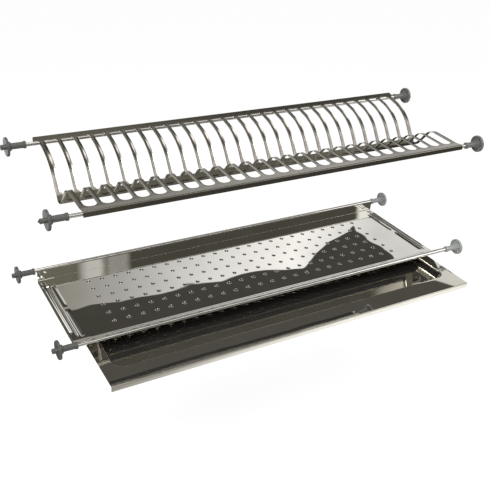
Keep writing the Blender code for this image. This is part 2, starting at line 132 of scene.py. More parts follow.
# Glass shelf
SHELF_END_GAP = 0.003
SHELF_FLOOR_DROP = 0.017
SHELF_SKIRT = 0.004
SHELF_FOLD_RADIUS = 0.0006
RAMP_ANGLE = math.radians(35)
RAMP_RADIUS = 0.008
BACK_HEM_STEPS = 18
WALL_FOLD_STEPS = 7
RAMP_STEPS = 8
FRONT_HEM_STEPS = 10
SHELF_HEM_TURN = math.radians(118)
HOLE_RADIUS = 0.0034
HOLE_MARGIN = 0.0007
HOLE_FOOT_RADIUS = 0.0014
HOLE_SINK = 0.0014
HOLE_SIDE_PARTS = 4
HOLE_FIRST_ANGLE = math.radians(-135)
HOLE_COLUMNS = 24
HOLE_ROWS = 6
COLUMN_PITCH = 0.024
ROW_PITCH = 0.025
BACK_ROW_INSET = 0.0365
RIDGE_HEIGHT = 0.0013
RIDGE_HALF_WIDTH = 0.0019
OUTER_RIDGE_INSET = 0.004
INNER_RIDGE_INSET = 0.010
GROOVE_INSET = 0.0185
GROOVE_HALF_WIDTH = 0.0032
GROOVE_DEPTH = 0.0016
MARGIN_WIDTH = 0.0285
OUTER_RIDGE_START = 0.019
INNER_RIDGE_START = 0.008
GROOVE_START = 0.009
GROOVE_END = 0.082
REAR_BEAD_START = 0.096
REAR_BEAD_HEIGHT = 0.0006
RIDGE_BACK_INSET = 0.006
MARGIN_STEP = 0.0013
MARGIN_ROW_STEP = 0.0028
SIDE_BEND_RADIUS = 0.0012
RUNNER_DROP = 0.0055

# Drip tray
TRAY_SIDE_GAP = 0.0165
TRAY_BACK_GAP = 0.006
TRAY_CLOSED_REACH = 0.012
TRAY_PULLED_OUT = 0.072
FRONT_FLANGE = 0.036
SIDE_FLANGE = 0.0195
BACK_FLANGE = 0.012
BASIN_SIDE_GAP = 0.0025
BASIN_DEPTH = 0.015
BASIN_CORNER = 0.018
BASIN_CORNER_STEPS = 14
BASIN_DRAFT = 0.005
BASIN_RIM_ROUND = 0.0016
BASIN_RIM_FLAT = 0.0048
BASIN_FOOT_ROUND = 0.0045
BEND_STEPS = 6
TRAY_LIP = 0.0085
LIP_BEND_RADIUS = 0.0011

# Worked out from the values above
SEAT_RADIUS = ROD_RADIUS + REST_GAP + SHEET / 2
DISC_PLACE = CABINET_WIDTH / 2
FITTING_LENGTH = DISC_THICKNESS + BOSS_LENGTH + SOCKET_LENGTH
ROD_HALF_LENGTH = DISC_PLACE - FITTING_LENGTH + ROD_ENGAGEMENT - REST_GAP
SHELF_TILT = math.atan2(LOWER_RISE, LOWER_DEPTH)
SHELF_SPAN = math.hypot(LOWER_RISE, LOWER_DEPTH)
SHELF_HALF_WIDTH = DISC_PLACE - FITTING_LENGTH - SHELF_END_GAP
FLANGE_LEVEL = -SHELF_FLOOR_DROP - RUNNER_DROP + SHEET + REST_GAP
TRAY_HALF_WIDTH = SHELF_HALF_WIDTH - TRAY_SIDE_GAP
VALLEY_LEVEL = TIER_SPACING - VALLEY_DROP + VALLEY_WALL
TRAY_LENGTH = SHELF_SPAN - SEAT_RADIUS - TRAY_BACK_GAP + TRAY_CLOSED_REACH
RUNNER_EDGE = TRAY_HALF_WIDTH - SIDE_FLANGE + BASIN_SIDE_GAP

ROD_PLACES = {
    "lower_front": (0.0, 0.0),
    "lower_back": (LOWER_DEPTH, LOWER_RISE),
    "upper_front": (-UPPER_OVERHANG, TIER_SPACING),
    "upper_back": (UPPER_DEPTH - UPPER_OVERHANG, TIER_SPACING + UPPER_RISE),
}
POINTED_PIN = ("upper_front", "left")
PALE_FITTINGS = (("lower_front", "right"), ("lower_back", "right"))

# Camera, fitted to the eight end fittings in the photograph
PHOTO_WIDTH = 490
FOCAL_PIXELS = 735.95
SENSOR = 36.0
CAMERA_PLACE = (-0.59667, -0.91724, 0.54623)
CAMERA_AZIMUTH = math.radians(29.523)
CAMERA_ELEVATION = math.radians(23.004)
CAMERA_ROLL = math.radians(-0.05)

# Colours of each material: the plain tone, and the tone of its smears, dull patches or scuffs
RACK_TONES = ((0.29, 0.275, 0.245), (0.24, 0.225, 0.20))
SHELF_TONES = ((0.70, 0.69, 0.66), (0.63, 0.62, 0.585))
TRAY_TONES = ((0.64, 0.62, 0.57), (0.57, 0.55, 0.50))
PLATING_TONES = ((0.84, 0.83, 0.80), (0.70, 0.69, 0.66))
DARK_TONES = ((0.075, 0.077, 0.070), (0.15, 0.15, 0.14))
SMOKE_TONES = ((0.15, 0.15, 0.145), (0.26, 0.26, 0.25))
PALE_TONES = ((0.36, 0.37, 0.36), (0.52, 0.53, 0.52))
RACK_ROUGHNESS = 0.17
SHELF_ROUGHNESS = 0.008
TRAY_ROUGHNESS = 0.012
PLATING_ROUGHNESS = 0.05
PLASTIC_ROUGHNESS = 0.17
RACK_WAVE = 0.00003
MIRROR_WAVE = 0.00022
TRAY_METAL = 0.96

# The rack's valley and the insides of the shelf's drain holes get painted shade, a darker base colour: the
# tilt of the sheet, the level below which the shade is painted, and the height over which it fades in.
# Undersides get none.
PAINTED_SHADE_TONE = (0.055, 0.052, 0.036)
PAINTED_SHADE_SHARE = 0.85
FACING_DOWN = (-0.7, -0.3)
HOLE_SHADE_SHARE = 0.28
HOLE_BLEND_SHARE = 0.12
RACK_VALLEY = (0.0, VALLEY_LEVEL, VALLEY_WALL / 2)
HOLE_INSIDES = (SHELF_TILT, SHEET * HOLE_SHADE_SHARE - SHELF_FLOOR_DROP, SHEET * HOLE_BLEND_SHARE)

# Patterns in the materials: how much they are squeezed along X, Y and Z, then scale, detail and roughness
# of the noise, and the values between which a pattern begins to show and shows fully
STREAK_SQUEEZE = (6.0, 900.0, 900.0)
STREAK_NOISE = (1.0, 4.0, 0.6)
SMEAR_NOISE = (14.0, 4.0, 0.55)
SMEAR_SHOWS = (0.35, 0.70)
SPOT_SCALE = 95.0
SPOT_SHOWS = (0.16, 0.10)
DRIED_NOISE = (31.0, 3.0, 0.5)
DRIED_SHOWS = (0.52, 0.66)
SWELL_SQUEEZE = (1.0, 1.6, 1.6)
SWELL_NOISE = (9.0, 1.0, 0.4)
LINE_SQUEEZE = (9.0, 1600.0, 1600.0)
LINE_NOISE = (1.0, 3.0, 0.5)
PATCH_NOISE = (60.0, 3.0, 0.5)
PATCH_SHOWS = (0.5, 0.72)
GRAIN_NOISE = (2600.0, 2.0, 0.6)
GRAIN_HEIGHT = 0.00004
CLOUD_NOISE = (160.0, 3.0, 0.5)
SCRATCH_SQUEEZE = (300.0, 2400.0, 2400.0)
SCRATCH_NOISE = (1.0, 2.0, 0.5)
SCRATCH_SHOWS = (0.62, 0.72)
SCUFF_SHOWS = (0.45, 0.62)

# How much each pattern adds to the second tone, and to the roughness
SMEAR_TINT = 0.55
DRIED_TINT = 0.4
PATCH_TINT = 0.6
SCUFF_TINT = 0.6
CLOUD_TINT = 0.2
EVEN_ROUGH = 0.8
SMEAR_ROUGH = 0.5
STREAK_ROUGH = 0.3
DRIED_ROUGH = 0.6
PATCH_ROUGH = 0.05
LINE_ROUGH = 0.02
CLOUD_ROUGH = 0.12
SCUFF_ROUGH = 0.15
GRAIN_STRENGTH = 0.6

# Studio as seen and as it lights plain pieces
FLOOR_LEVEL = -0.60
FLOOR_REACH = 40.0
FLOOR_GREY = (0.80, 0.80, 0.80)
FLOOR_LIFT = 0.55
LAMP_PLACE = (-0.9, -1.3, 1.7)
LAMP_SIZE = 1.1
LAMP_POWER = 40.0
WHITE = (1.0, 1.0, 1.0)
SOFT_GREY = (0.54, 0.54, 0.54)

# Studio as the metal mirrors it. Azimuths are degrees from the back towards the right, levels degrees over
# the horizon. Two of them say where a light begins and where it is full. Of four, the third says where it
# starts to fade and the fourth where it is gone. The backdrop's edge is given as azimuths with its level
# there, its glow as shares of its span with the light there, and a window pane as its light, its azimuth
# and how far to either side of that it is gone and full.
RIGHT_ANGLE = 90.0
WARM_TINT = (1.0, 0.965, 0.80)
CLEAR_TINT = (1.0, 0.99, 0.97)
TINT_LIGHTS = (0.25, 0.60)
OVERHEAD_LIGHT = 3.4
OVERHEAD_LEVELS = (74.0, 78.0)
BACK_MIDDLE = 45.0
BACK_FADE = (75.0, 65.0)
BACKDROP_START = 10.0
BACKDROP_SPAN = 50.0
BACKDROP_EDGE = (
    (10, 40.2), (22, 39.7), (33, 36.8), (39.2, 35.2), (41.0, 33.0), (42.8, 31.4), (46.4, 32.7),
    (48, 33.6), (60, 33.9),
)
BACKDROP_EDGE_BLUR = 0.04
BACKDROP_GLOW = (
    (0.0, 0.24), (0.12, 0.32), (0.24, 0.50), (0.38, 0.88), (0.56, 1.25), (0.70, 0.84), (1.0, 0.95),
)
BACKDROP_LOW_GLOW = 0.42
BACKDROP_FOOT_GLOW = 0.40
BACKDROP_SHADE = 0.05
GLOW_LEVELS = (12.0, 33.0)
FOOT_LEVELS = (24.0, 14.0)
GROUND_LEVELS = (-34.0, -14.0)
ROOM_SHADE = 0.075
CEILING_LIGHT = 0.40
CEILING_LEVELS = (47.0, 52.0)
CEILING_AZIMUTHS = (12.0, 18.0)
FRONT_SHADE = 0.12
WINDOW_PANES = ((0.9, 163.3, (1.3, 0.3)), (0.42, 161.3, (1.2, 0.5)))
WINDOW_LEVELS = (12.0, 22.0, 28.0, 34.0)
WALL_LIGHT = 1.5
WALL_AZIMUTHS = (112.0, 120.0, 141.0, 141.6)
WALL_LEVELS = (4.0, 12.0, 32.0, 36.0)

# The table's far edge rises by its slope with every degree away from its corner
TABLE_LIGHT = 1.1
TABLE_SHADE = 0.25
TABLE_AZIMUTHS = (162.0, 128.0)
TABLE_END = (96.0, 108.0)
TABLE_CORNER = 160.0
TABLE_SLOPE = 0.31
TABLE_LEVELS = (-40.5, -42.5)

# The rest of the front side
FAR_SIDE_AZIMUTHS = (108.0, 96.0)
FAR_SIDE_LEVELS = (5.0, 60.0)
FAR_SIDE_SHADE = 0.20
FAR_SIDE_LIGHT = 0.35
NEAR_SIDE_AZIMUTHS = (163.5, 165.0)
NEAR_SIDE_LIGHT = 0.16
STRIP_LIGHT = 1.3
STRIP_LEVELS = (28.0, 30.0, 45.0, 47.0)


# Shader sums

class Wire:
    """One output of a shader node, which can be added, subtracted and scaled in expressions."""

    def __init__(self, net, socket):
        self.net = net
        self.socket = socket

    def __add__(self, other):
        return self.net.worked("ADD", self, other)

    def __radd__(self, other):
        return self.net.worked("ADD", other, self)

    def __sub__(self, other):
        return self.net.worked("SUBTRACT", self, other)

    def __rsub__(self, other):
        return self.net.worked("SUBTRACT", other, self)

    def __mul__(self, other):
        return self.net.worked("MULTIPLY", self, other)

    def __rmul__(self, other):
        return self.net.worked("MULTIPLY", other, self)

    def __truediv__(self, other):
        return self.net.worked("DIVIDE", self, other)


class Step:
    """A node that has been set, with its outputs given as wires."""

    def __init__(self, net, node):
        self.net = net
        self.node = node

    def wire(self, output):
        return Wire(self.net, self.node.outputs[output])


class Net:
    """The nodes of one material or world."""

    def __init__(self, owner):
        owner.use_nodes = True
        self.tree = owner.node_tree
        self.tree.nodes.clear()

    def node(self, kind, settings=None, values=None):
        node = self.tree.nodes.new(kind)
        for name, setting in (settings or {}).items():
            if name == "stops":
                self.set_stops(node.color_ramp, setting)
            else:
                setattr(node, name, setting)
        for name, value in (values or {}).items():
            self.join(node.inputs[name], value)
        return Step(self, node)

    def set_stops(self, ramp, stops):
        while len(ramp.elements) < len(stops):
            ramp.elements.new(1.0)
        for element, (place, light) in zip(ramp.elements, stops):
            element.position = place
            element.color = (light, light, light, 1.0)

    def join(self, socket, value):
        if isinstance(value, Wire):
            self.tree.links.new(value.socket, socket)
        elif socket.type == "RGBA":
            socket.default_value = (*value, 1.0)
        else:
            socket.default_value = value

    def worked(self, operation, first, second=0.0):
        return self.node("ShaderNodeMath", {"operation": operation}, {0: first, 1: second}).wire(0)

    def smooth(self, value, low, high):
        """Nought at low, one at high, and a soft change between."""
        settings = {"interpolation_type": "SMOOTHSTEP"}
        values = {"Value": value, "From Min": low, "From Max": high}
        return self.node("ShaderNodeMapRange", settings, values).wire("Result")

    def band(self, value, start, full, fade, end):
        """Nought up to start, one from full to fade, and nought again after end."""
        return self.smooth(value, start, full) * self.smooth(value, end, fade)

    def near(self, value, middle, far, close):
        """One where the value is close to the middle, and nought where it is far."""
        return self.smooth(self.worked("ABSOLUTE", value - middle), far, close)

    def ramp(self, stops, value):
        return self.node("ShaderNodeValToRGB", {"stops": stops}, {0: value}).wire(0)

    def blend(self, share, first, second):
        settings = {"data_type": "RGBA"}
        mixed = self.node("ShaderNodeMix", settings, {"Factor": share, 6: first, 7: second})
        return mixed.wire(2)

    def noise(self, place, scale, detail, roughness):
        values = {"Vector": place, "Scale": scale, "Detail": detail, "Roughness": roughness}
        return self.node("ShaderNodeTexNoise", None, values).wire("Fac")

    def squeezed(self, place, shares):
        return self.node("ShaderNodeMapping", None, {"Vector": place, "Scale": shares}).wire(0)

    def coordinate(self, kind):
        return self.node("ShaderNodeTexCoord").wire(kind)

    def tilted_height(self, vector, tilt):
        """How far a vector goes up, square to a sheet that is tilted about X."""
        parts = self.node("ShaderNodeSeparateXYZ", None, {0: vector})
        return parts.wire(2) * math.cos(tilt) - parts.wire(1) * math.sin(tilt)

    def show(self, shader):
        self.node("ShaderNodeOutputMaterial", None, {"Surface": shader.wire(0)})


def steel(name, tones, roughness, waviness, shaded_hollows=None, metal=1.0):
    """Polished stainless sheet: rolling streaks, water marks and a slight waviness, and painted shade in its
    hollows where asked.
    """
    material = bpy.data.materials.new(name)
    net = Net(material)
    place = net.coordinate("Object")
    streaks = net.noise(net.squeezed(place, STREAK_SQUEEZE), *STREAK_NOISE)
    smears = net.noise(place, *SMEAR_NOISE)
    spots = net.node("ShaderNodeTexVoronoi", None, {"Vector": place, "Scale": SPOT_SCALE}).wire("Distance")
    dried = net.smooth(spots, *SPOT_SHOWS) * net.smooth(net.noise(place, *DRIED_NOISE), *DRIED_SHOWS)
    swell = net.noise(net.squeezed(place, SWELL_SQUEEZE), *SWELL_NOISE)
    colour = net.blend(net.smooth(smears, *SMEAR_SHOWS) * SMEAR_TINT + dried * DRIED_TINT, *tones)
    # Painted shade: a darker base colour below a level in the sheet's hollows, left off surfaces that face
    # down
    if shaded_hollows:
        tilt, level, reach = shaded_hollows
        upward = net.tilted_height(net.coordinate("Normal"), tilt)
        below = net.smooth(net.tilted_height(place, tilt), level + reach, level)
        painted_shade = below * net.smooth(upward, *FACING_DOWN)
        colour = net.blend(painted_shade * PAINTED_SHADE_SHARE, colour, PAINTED_SHADE_TONE)
    rough = roughness * (EVEN_ROUGH + smears * SMEAR_ROUGH + streaks * STREAK_ROUGH + dried * DRIED_ROUGH)
    bump = net.node("ShaderNodeBump", None, {"Strength": 1.0, "Distance": waviness, "Height": swell})
    values = {"Base Color": colour, "Metallic": metal, "Roughness": rough, "Normal": bump.wire("Normal")}
    net.show(net.node("ShaderNodeBsdfPrincipled", None, values))
    return material


def chrome(name, tones, roughness):
    """Bright plating on drawn rod, with fine lines along it and a few dull patches."""
    material = bpy.data.materials.new(name)
    net = Net(material)
    place = net.coordinate("Object")
    lines = net.noise(net.squeezed(place, LINE_SQUEEZE), *LINE_NOISE)
    patches = net.smooth(net.noise(place, *PATCH_NOISE), *PATCH_SHOWS)
    colour = net.blend(patches * PATCH_TINT, *tones)
    rough = roughness + patches * PATCH_ROUGH + lines * LINE_ROUGH
    values = {"Base Color": colour, "Metallic": 1.0, "Roughness": rough}
    net.show(net.node("ShaderNodeBsdfPrincipled", None, values))
    return material


def moulded(name, tones):
    """Moulded plastic: spark-eroded grain, a soft sheen and paler scuffs."""
    material = bpy.data.materials.new(name)
    net = Net(material)
    place = net.coordinate("Object")
    grain = net.noise(place, *GRAIN_NOISE)
    cloud = net.noise(place, *CLOUD_NOISE)
    scratches = net.noise(net.squeezed(place, SCRATCH_SQUEEZE), *SCRATCH_NOISE)
    scuff = net.smooth(scratches, *SCRATCH_SHOWS) * net.smooth(cloud, *SCUFF_SHOWS)
    colour = net.blend(scuff * SCUFF_TINT + cloud * CLOUD_TINT, *tones)
    rough = PLASTIC_ROUGHNESS + cloud * CLOUD_ROUGH + scuff * SCUFF_ROUGH
    relief = {"Strength": GRAIN_STRENGTH, "Distance": GRAIN_HEIGHT, "Height": grain}
    bump = net.node("ShaderNodeBump", None, relief)
    values = {"Base Color": colour, "Roughness": rough, "Normal": bump.wire("Normal")}
    net.show(net.node("ShaderNodeBsdfPrincipled", None, values))
    return material


# Outlines in a plane

def arc(centre, radius, start, end, steps):
    """Points on an arc from one angle to another, both ends with them."""
    points = []
    for step in range(steps + 1):
        angle = start + (end - start) * step / steps
        points.append(Vector(centre) + Vector((math.cos(angle), math.sin(angle))) * radius)
    return points


def fillet(before, corner, after, radius, steps):
    """Points that round the corner of an outline with an arc of the given radius."""
    to_before = (before - corner).normalized()
    to_after = (after - corner).normalized()
    half_angle = to_before.angle(to_after) / 2
    first = corner + to_before * (radius / math.tan(half_angle))
    last = corner + to_after * (radius / math.tan(half_angle))
    middle = corner + (to_before + to_after).normalized() * (radius / math.sin(half_angle))
    start = first - middle
    turn = start.angle_signed(last - middle)
    return [middle + Matrix.Rotation(-turn * step / steps, 2) @ start for step in range(steps + 1)]


def tangent_point(point, centre, radius):
    """Where a line from a point touches a circle, clockwise round the circle from the point."""
    away = point - centre
    angle = math.atan2(away.y, away.x) - math.acos(radius / away.length)
    return centre + Vector((math.cos(angle), math.sin(angle))) * radius


def soft_step(value, low, high):
    share = min(1.0, max(0.0, (value - low) / (high - low)))
    return share * share * (3 - 2 * share)


# Pieces

def add_piece(name, shape, material, body, node, thickness=0.0, rounding=0.0):
    """Turn a bmesh into a piece that stands for one CAD node and rides on its body."""
    bmesh.ops.remove_doubles(shape, verts=shape.verts, dist=MERGE)
    bmesh.ops.recalc_face_normals(shape, faces=shape.faces)
    mesh = bpy.data.meshes.new(name)
    shape.to_mesh(mesh)
    shape.free()
    mesh.shade_smooth()
    mesh.set_sharp_from_angle(angle=SHARP_ANGLE)
    mesh.materials.append(material)
    piece = bpy.data.objects.new(name, mesh)
    bpy.context.scene.collection.objects.link(piece)
    if thickness:
        solid = piece.modifiers.new("sheet", "SOLIDIFY")
        solid.thickness = thickness
        solid.offset = 0.0
        solid.use_even_offset = True
        solid.use_quality_normals = True
    if rounding:
        edge = piece.modifiers.new("edges", "BEVEL")
        edge.width = rounding
        edge.segments = ROUND_SEGMENTS
        edge.limit_method = "ANGLE"
        edge.angle_limit = SHARP_ANGLE
        edge.use_clamp_overlap = True
    weighted = piece.modifiers.new("normals", "WEIGHTED_NORMAL")
    weighted.keep_sharp = not rounding
    weighted.weight = LARGE_FACES_FIRST
    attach(piece, body)
    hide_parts(node)


def revolve(profile, sides):
    """Turn an outline of (along X, radius) points about the X axis."""
    shape = bmesh.new()
    ring = [shape.verts.new((along, 0.0, radius)) for along, radius in profile]
    edges = [shape.edges.new(pair) for pair in zip(ring, ring[1:])]
    bmesh.ops.spin(
        shape,
        geom=ring + edges,
        cent=(0.0, 0.0, 0.0),
        axis=(1.0, 0.0, 0.0),
        angle=math.tau,
        steps=sides,
        use_merge=False,
    )
    bmesh.ops.remove_doubles(shape, verts=shape.verts, dist=MERGE)
    return shape


def rod_shape():
    half = ROD_HALF_LENGTH
    profile = [
        (-half, 0.0),
        (-half, ROD_RADIUS - ROD_END_CHAMFER),
        (ROD_END_CHAMFER - half, ROD_RADIUS),
        (half - ROD_END_CHAMFER, ROD_RADIUS),
        (half, ROD_RADIUS - ROD_END_CHAMFER),
        (half, 0.0),
    ]
    return revolve(profile, ROD_SIDES)


def pin_profile(pointed):
    """The pin that enters the cabinet's side, from its tip to the disc's outer face."""
    neck = PIN_RADIUS - PIN_NECK
    if pointed:
        return [
            (-PIN_LENGTH - PIN_POINT_LENGTH, 0.0),
            (-PIN_LENGTH, PIN_RADIUS),
            (PIN_NECK - PIN_LENGTH, PIN_RADIUS),
            (PIN_NECK * 2 - PIN_LENGTH, neck),
            (0.0, neck),
        ]
    hollow = PIN_RADIUS - PIN_WALL
    floor = PIN_HOLLOW_DEPTH - PIN_LENGTH
    return [
        (floor, 0.0),
        (floor, hollow),
        (-PIN_LENGTH, hollow),
        (-PIN_LENGTH, neck),
        (PIN_NECK - PIN_LENGTH, PIN_RADIUS),
        (0.0, PIN_RADIUS),
    ]


def sink_pockets(shape):
    """Press a ring of pockets into the disc's inner face, which leaves radial webs between them."""
    middle = (DISC_RADIUS - RIM_WIDTH + BOSS_RADIUS) / 2
    band = []
    for face in shape.faces:
        centre = face.calc_center_median()
        at_face = abs(centre.x - DISC_THICKNESS) < MERGE
        if at_face and abs(math.hypot(centre.y, centre.z) - middle) < RIM_WIDTH:
            band.append(face)
    sectors = POCKET_COUNT * FACETS_PER_POCKET
    seams = []
    for edge in {edge for face in band for edge in face.edges}:
        inner, outer = [vertex.co for vertex in edge.verts]
        radial = abs(inner.yz.length - outer.yz.length) > RIM_WIDTH
        middle_point = (inner + outer) / 2
        sector = round(math.atan2(middle_point.z, middle_point.y) / math.tau * sectors)
        if radial and sector % FACETS_PER_POCKET:
            seams.append(edge)
    kept = set(shape.faces) - set(band)
    bmesh.ops.dissolve_edges(shape, edges=seams, use_verts=False)
    pockets = [face for face in shape.faces if face not in kept]
    bmesh.ops.inset_individual(shape, faces=pockets, thickness=WEB_WIDTH / 2, use_even_offset=True)
    for vertex in {vertex for face in pockets for vertex in face.verts}:
        vertex.co.x -= POCKET_DEPTH


def fitting_shape(pointed):
    """Disc, pin, stepped boss, socket and its end collar; X = 0 is the disc's outer face."""
    bore = ROD_RADIUS + REST_GAP
    boss_end = DISC_THICKNESS + BOSS_LENGTH
    collar = FITTING_LENGTH - COLLAR_LENGTH
    profile = pin_profile(pointed) + [
        (0.0, DISC_RADIUS - DISC_CHAMFER),
        (DISC_CHAMFER, DISC_RADIUS),
        (DISC_THICKNESS - DISC_CHAMFER, DISC_RADIUS),
        (DISC_THICKNESS, DISC_RADIUS - DISC_CHAMFER),
        (DISC_THICKNESS, DISC_RADIUS - RIM_WIDTH),
        (DISC_THICKNESS, BOSS_RADIUS),
        (boss_end, BOSS_RADIUS),
        (boss_end, SOCKET_RADIUS),
        (collar, SOCKET_RADIUS),
        (collar, COLLAR_RADIUS),
        (FITTING_LENGTH, COLLAR_RADIUS),
        (FITTING_LENGTH, bore),
        (FITTING_LENGTH - ROD_ENGAGEMENT, bore),
        (FITTING_LENGTH - ROD_ENGAGEMENT, 0.0),
    ]
    shape = revolve(profile, POCKET_COUNT * FACETS_PER_POCKET)
    bmesh.ops.recalc_face_normals(shape, faces=shape.faces)
    sink_pockets(shape)
    return shape


# Plate rack

class Run:
    """A fine outline that can be asked for its point and its direction at any length along it."""

    def __init__(self, points):
        self.points = points
        self.lengths = [0.0]
        for before, after in zip(points, points[1:]):
            self.lengths.append(self.lengths[-1] + (after - before).length)

    def length_at(self, point):
        nearest = min(range(len(self.points)), key=lambda index: (self.points[index] - point).length)
        return self.lengths[nearest]

    def at(self, length):
        index = 1
        while index < len(self.lengths) - 1 and self.lengths[index] < length:
            index += 1
        before, after = self.points[index - 1], self.points[index]
        span = self.lengths[index] - self.lengths[index - 1]
        return before.lerp(after, (length - self.lengths[index - 1]) / span)

    def across(self, length, reach):
        ahead = self.at(min(self.lengths[-1], length + reach))
        behind = self.at(max(0.0, length - reach))
        along = (ahead - behind).normalized()
        return Vector((-along.y, along.x))


def rack_run():
    """The rack's side profile from the skirt behind the back rod to the hem before the front rod."""
    back_rod = Vector((UPPER_DEPTH, UPPER_RISE))
    knee = Vector((UPPER_DEPTH * KNEE_DEPTH_SHARE, UPPER_RISE * KNEE_RISE_SHARE))
    valley_back = Vector((UPPER_DEPTH * VALLEY_DEPTH_SHARE, -VALLEY_DROP))
    valley_front = valley_back - Vector((VALLEY_WIDTH, 0.0))
    hump = Vector((UPPER_DEPTH * HUMP_DEPTH_SHARE, HUMP_HEIGHT))
    plate_back = Vector((PLATE_DEPTH, SEAT_RADIUS))
    hem_top = Vector((-SEAT_RADIUS, SEAT_RADIUS))
    hem_bottom = Vector((-SEAT_RADIUS, -RACK_HEM_DROP))
    leave = tangent_point(knee, back_rod, SEAT_RADIUS)
    ridge = leave + (leave - knee).normalized() * RAIL_REACH
    skirt = Vector((ridge.x, back_rod.y - RAIL_SKIRT))
    rail = [skirt] + fillet(skirt, ridge, leave, RAIL_FOLD_RADIUS, RAIL_STEPS) + [leave]
    back = fillet(leave, knee, valley_back, KNEE_RADIUS, KNEE_STEPS)
    valley = fillet(knee, valley_back, valley_front, VALLEY_RADIUS, VALLEY_STEPS)
    valley += fillet(valley_back, valley_front, hump, VALLEY_RADIUS, VALLEY_STEPS)
    front = fillet(valley_front, hump, plate_back, HUMP_RADIUS, HUMP_STEPS)
    plate = fillet(hump, plate_back, hem_top, PLATE_RADIUS, PLATE_STEPS)
    hem = fillet(plate_back, hem_top, hem_bottom, HEM_RADIUS, HEM_STEPS) + [hem_bottom]
    run = Run(rail + back + valley + front + plate + hem)
    nose = (RIB_PITCH - RIB_WIDTH) / 2 * SLOT_NOSE_SHARE
    slots = (
        (run.length_at(rail[-1]), run.length_at(valley[0]) - VALLEY_WALL, SLOT_CORNER, SLOT_FOOT_CORNER),
        (run.length_at(valley[-1]) + VALLEY_WALL, run.length_at(plate[0]), SLOT_FOOT_CORNER, nose),
    )
    return run, slots


def rack_rows(run, slots):
    """Lengths along the profile that carry a row of points."""
    lengths = set(run.lengths)
    for start, end, first, last in slots:
        for step in range(SLOT_END_STEPS + 1):
            share = 1 - math.cos(math.pi / 2 * step / SLOT_END_STEPS)
            lengths.add(start + first * share)
            lengths.add(end - last * share)
        count = int((end - start) / ROW_SPACING)
        lengths.update(start + (end - start) * step / count for step in range(1, count))
    rows = []
    for length in sorted(lengths):
        if not rows or length - rows[-1] > EDGE_ROUND / 2:
            rows.append(length)
    return rows


def slot_gap(length, slots):
    """Half the slot's width at a length, and if the slot is open there."""
    full = (RIB_PITCH - RIB_WIDTH) / 2
    for start, end, first, last in slots:
        if start - MERGE <= length <= end + MERGE:
            near_start = length - start < end - length
            radius = first if near_start else last
            depth = min(length - start if near_start else end - length, radius)
            gap = full - radius + math.sqrt(max(0.0, radius ** 2 - (radius - depth) ** 2))
            return gap, start - MERGE <= length < end - EDGE_ROUND
    return full - SLOT_FOOT_CORNER, False


def rib_sink(length, slots):
    """How far a rib's middle is pressed in at a length: most in the back ribs, less in the front."""
    for (start, end, _, _), depth in zip(slots, (RIB_CREASE, FRONT_RIB_CREASE)):
        if start < length < end:
            rise = soft_step(length, start, start + CREASE_RUN)
            return depth * rise * soft_step(end - length, 0.0, CREASE_RUN)
    return 0.0


def rack_shape():
    """One pressed sheet: ribs, valley, hump and front plate, with a rail and a hem for the rods."""
    run, slots = rack_run()
    lengths = rack_rows(run, slots)
    middle = (RIB_COUNT - 1) / 2
    narrow_end = middle * RIB_PITCH + RIB_WIDTH / 2 + RACK_END_MARGIN
    base = Vector(ROD_PLACES["upper_front"])
    shape = bmesh.new()
    grid = []
    for length in lengths:
        point = run.at(length)
        across = run.across(length, ROW_SPACING)
        gap, open_here = slot_gap(length, slots)
        sink = rib_sink(length, slots)
        end = narrow_end + RAIL_OVERHANG if length <= slots[0][0] else narrow_end
        line = []
        for index in range(RIB_COUNT):
            rib = (index - middle) * RIB_PITCH
            left = rib - RIB_PITCH / 2 + gap if index else -end
            right = rib + RIB_PITCH / 2 - gap if index < RIB_COUNT - 1 else end
            strip = []
            for column in range(RIB_COLUMNS + 1):
                share = 2 * column / RIB_COLUMNS - 1
                spot = base + point + across * (sink * (1 - share * share))
                wide = left + (right - left) * column / RIB_COLUMNS
                strip.append(shape.verts.new((wide + RACK_SIDE_OFFSET, *spot)))
            line.append(strip)
        grid.append((line, open_here))
    for (upper, slotted), (lower, _) in zip(grid, grid[1:]):
        for index in range(RIB_COUNT):
            for column in range(RIB_COLUMNS):
                pair = lower[index][column + 1], lower[index][column]
                shape.faces.new((upper[index][column], upper[index][column + 1], *pair))
            if index and not slotted:
                pair = lower[index][0], lower[index - 1][-1]
                shape.faces.new((upper[index - 1][-1], upper[index][0], *pair))
    return shape


# Glass shelf, in its own frame: Y from the front rod to the back rod, Z square to their plane

def shelf_runs():
    """The shelf's profile in two runs: skirt, hem and wall down to the floor, and the ramp."""
    back_rod = Vector((SHELF_SPAN, 0.0))
    floor = -SHELF_FLOOR_DROP
    wall_foot = Vector((SHELF_SPAN - SEAT_RADIUS, floor))
    touch = arc((0.0, 0.0), SEAT_RADIUS, math.pi / 2 - RAMP_ANGLE, SHELF_HEM_TURN, FRONT_HEM_STEPS)
    ramp_foot = Vector((touch[0].x + (touch[0].y - floor) / math.tan(RAMP_ANGLE), floor))
    down = [back_rod + Vector((SEAT_RADIUS, -SHELF_SKIRT))]
    down += arc(back_rod, SEAT_RADIUS, 0.0, math.pi, BACK_HEM_STEPS)
    down += fillet(down[-1], wall_foot, ramp_foot, SHELF_FOLD_RADIUS, WALL_FOLD_STEPS)
    up = fillet(wall_foot, ramp_foot, touch[0], RAMP_RADIUS, RAMP_STEPS) + touch
    return down, up


def bead(across, along, inset, start, end, half_width):
    """One on a bead's middle line, falling smoothly to nought at its half-width and its round ends."""
    beyond = max(start + half_width - along, along - end + half_width, 0.0)
    away = math.hypot(across - inset, beyond) / half_width
    return max(0.0, 1 - away * away) ** 2 if away < 1 else 0.0


